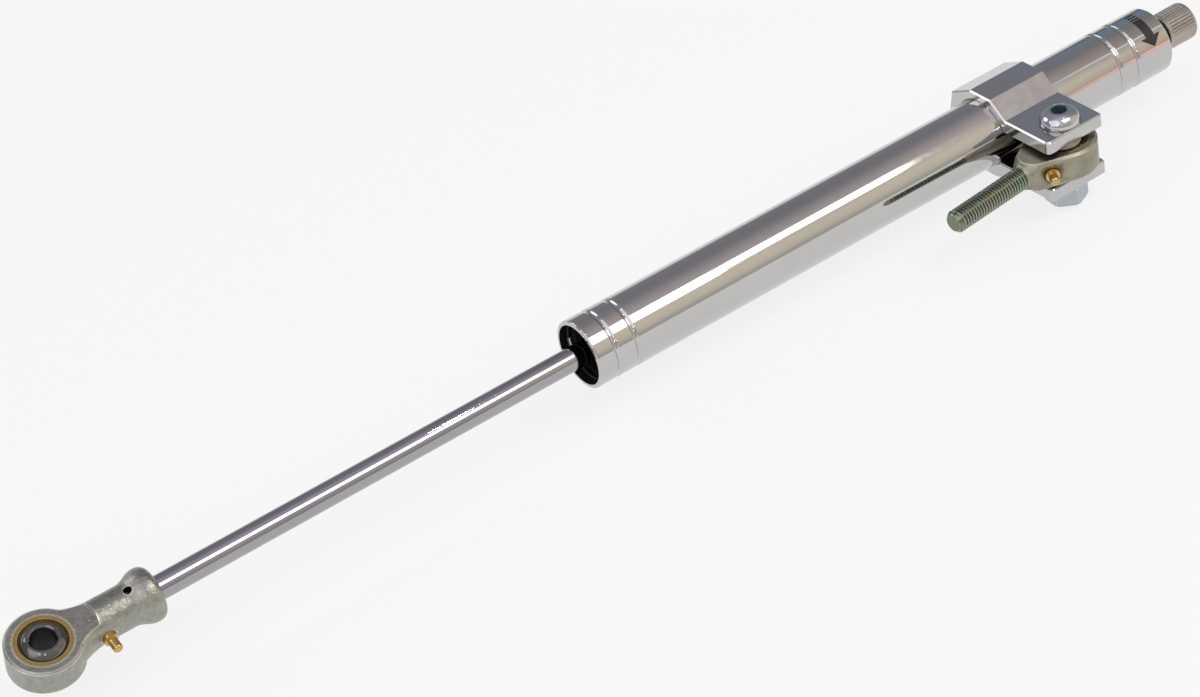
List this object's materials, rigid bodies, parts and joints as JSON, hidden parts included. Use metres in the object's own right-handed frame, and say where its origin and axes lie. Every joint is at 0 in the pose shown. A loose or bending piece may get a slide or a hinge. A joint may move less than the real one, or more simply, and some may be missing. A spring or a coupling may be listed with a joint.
{
  "type": "steering stabilizer",
  "caption": "Linear steering damper: a chromed rod slides in a polished tube, with a ball-jointed rod end on the rod, a clamp with a ball-jointed stud on the tube, and a damping knob.",
  "frame": {"origin": "centre of the fork-end eye, which is the centre of its ball", "axes": "+X along the damper from the fork-end eye to the adjuster knob, +Z along the clamp screw towards its head, +Y away from the clamp's ears"},
  "size_m": [0.472, 0.0559, 0.0362],
  "materials": {
    "polished_aluminium": "mirror polished",
    "rod_chrome": "ground and hard chromed",
    "ball_chrome": "bearing chrome",
    "fork_casting": "satin zinc over a cast skin",
    "frame_casting": "satin olive zinc over a cast skin",
    "brass": "bright",
    "bright_screw": "bright plated",
    "zinc_nut": "blue zinc plated",
    "knob_aluminium": "satin, straight knurled",
    "black_anodised": "black anodised",
    "inner_steel": "machined",
    "spring_steel": "drawn wire",
    "seal_rubber": "matt black",
    "band_plastic": "bronze-filled bearing plastic"
  },
  "bodies": {
    "frame_end": {"frame_end_housing": "frame_casting", "frame_end_race": "brass", "frame_end_nipple": "brass"},
    "damper": {"outer_tube": "polished_aluminium", "retaining_ring": "inner_steel", "rod_guide": "black_anodised", "guide_o_ring": "seal_rubber", "wiper_ring": "seal_rubber", "guide_bush": "brass", "rod_seal": "seal_rubber", "seal_spring": "spring_steel", "inner_cylinder": "inner_steel", "valve_body": "black_anodised", "body_o_ring": "seal_rubber", "check_disc": "inner_steel", "check_clip": "inner_steel", "check_spring": "spring_steel", "detent_ball": "spring_steel", "detent_spring": "spring_steel", "spindle_clip": "inner_steel", "tube_clamp": "polished_aluminium", "clamp_screw": "bright_screw", "clamp_nut": "zinc_nut", "frame_end_ball": "ball_chrome"},
    "piston_band": {"piston_band": "band_plastic"},
    "rod": {"piston_rod": "rod_chrome", "rebound_bumper": "seal_rubber", "valve_shims": "inner_steel", "piston": "inner_steel", "piston_nut": "inner_steel", "fork_end_housing": "fork_casting", "fork_end_race": "brass", "fork_end_nipple": "brass"},
    "fork_ball": {"fork_end_ball": "ball_chrome"},
    "adjuster": {"adjuster_spindle": "inner_steel", "spindle_o_ring": "seal_rubber", "knob": "knob_aluminium", "knob_screw": "inner_steel"}
  },
  "joints": [
    {"name": "frame_swivel", "type": "hinge", "parent": "frame_end", "child": "damper", "pos_m": [0.3779, -0.0263, -0.0025], "axis": [0, 0, 1], "range_deg": [-184, 15]},
    {"name": "rod_slide", "type": "slide", "parent": "damper", "child": "piston_band", "axis": [1, 0, 0], "range_m": [0, 0.15]},
    {"name": "rod_spin", "type": "hinge", "parent": "piston_band", "child": "rod", "pos_m": [0.1, 0, 0], "axis": [1, 0, 0], "continuous": true},
    {"name": "fork_ball_spin", "type": "hinge", "parent": "rod", "child": "fork_ball", "pos_m": [0, 0, 0], "axis": [0, -0.3156, 0.9489], "continuous": true},
    {"name": "adjuster_turn", "type": "hinge", "parent": "damper", "child": "adjuster", "pos_m": [0.45, 0, 0], "axis": [1, 0, 0], "range_deg": [0, 330]}
  ]
}
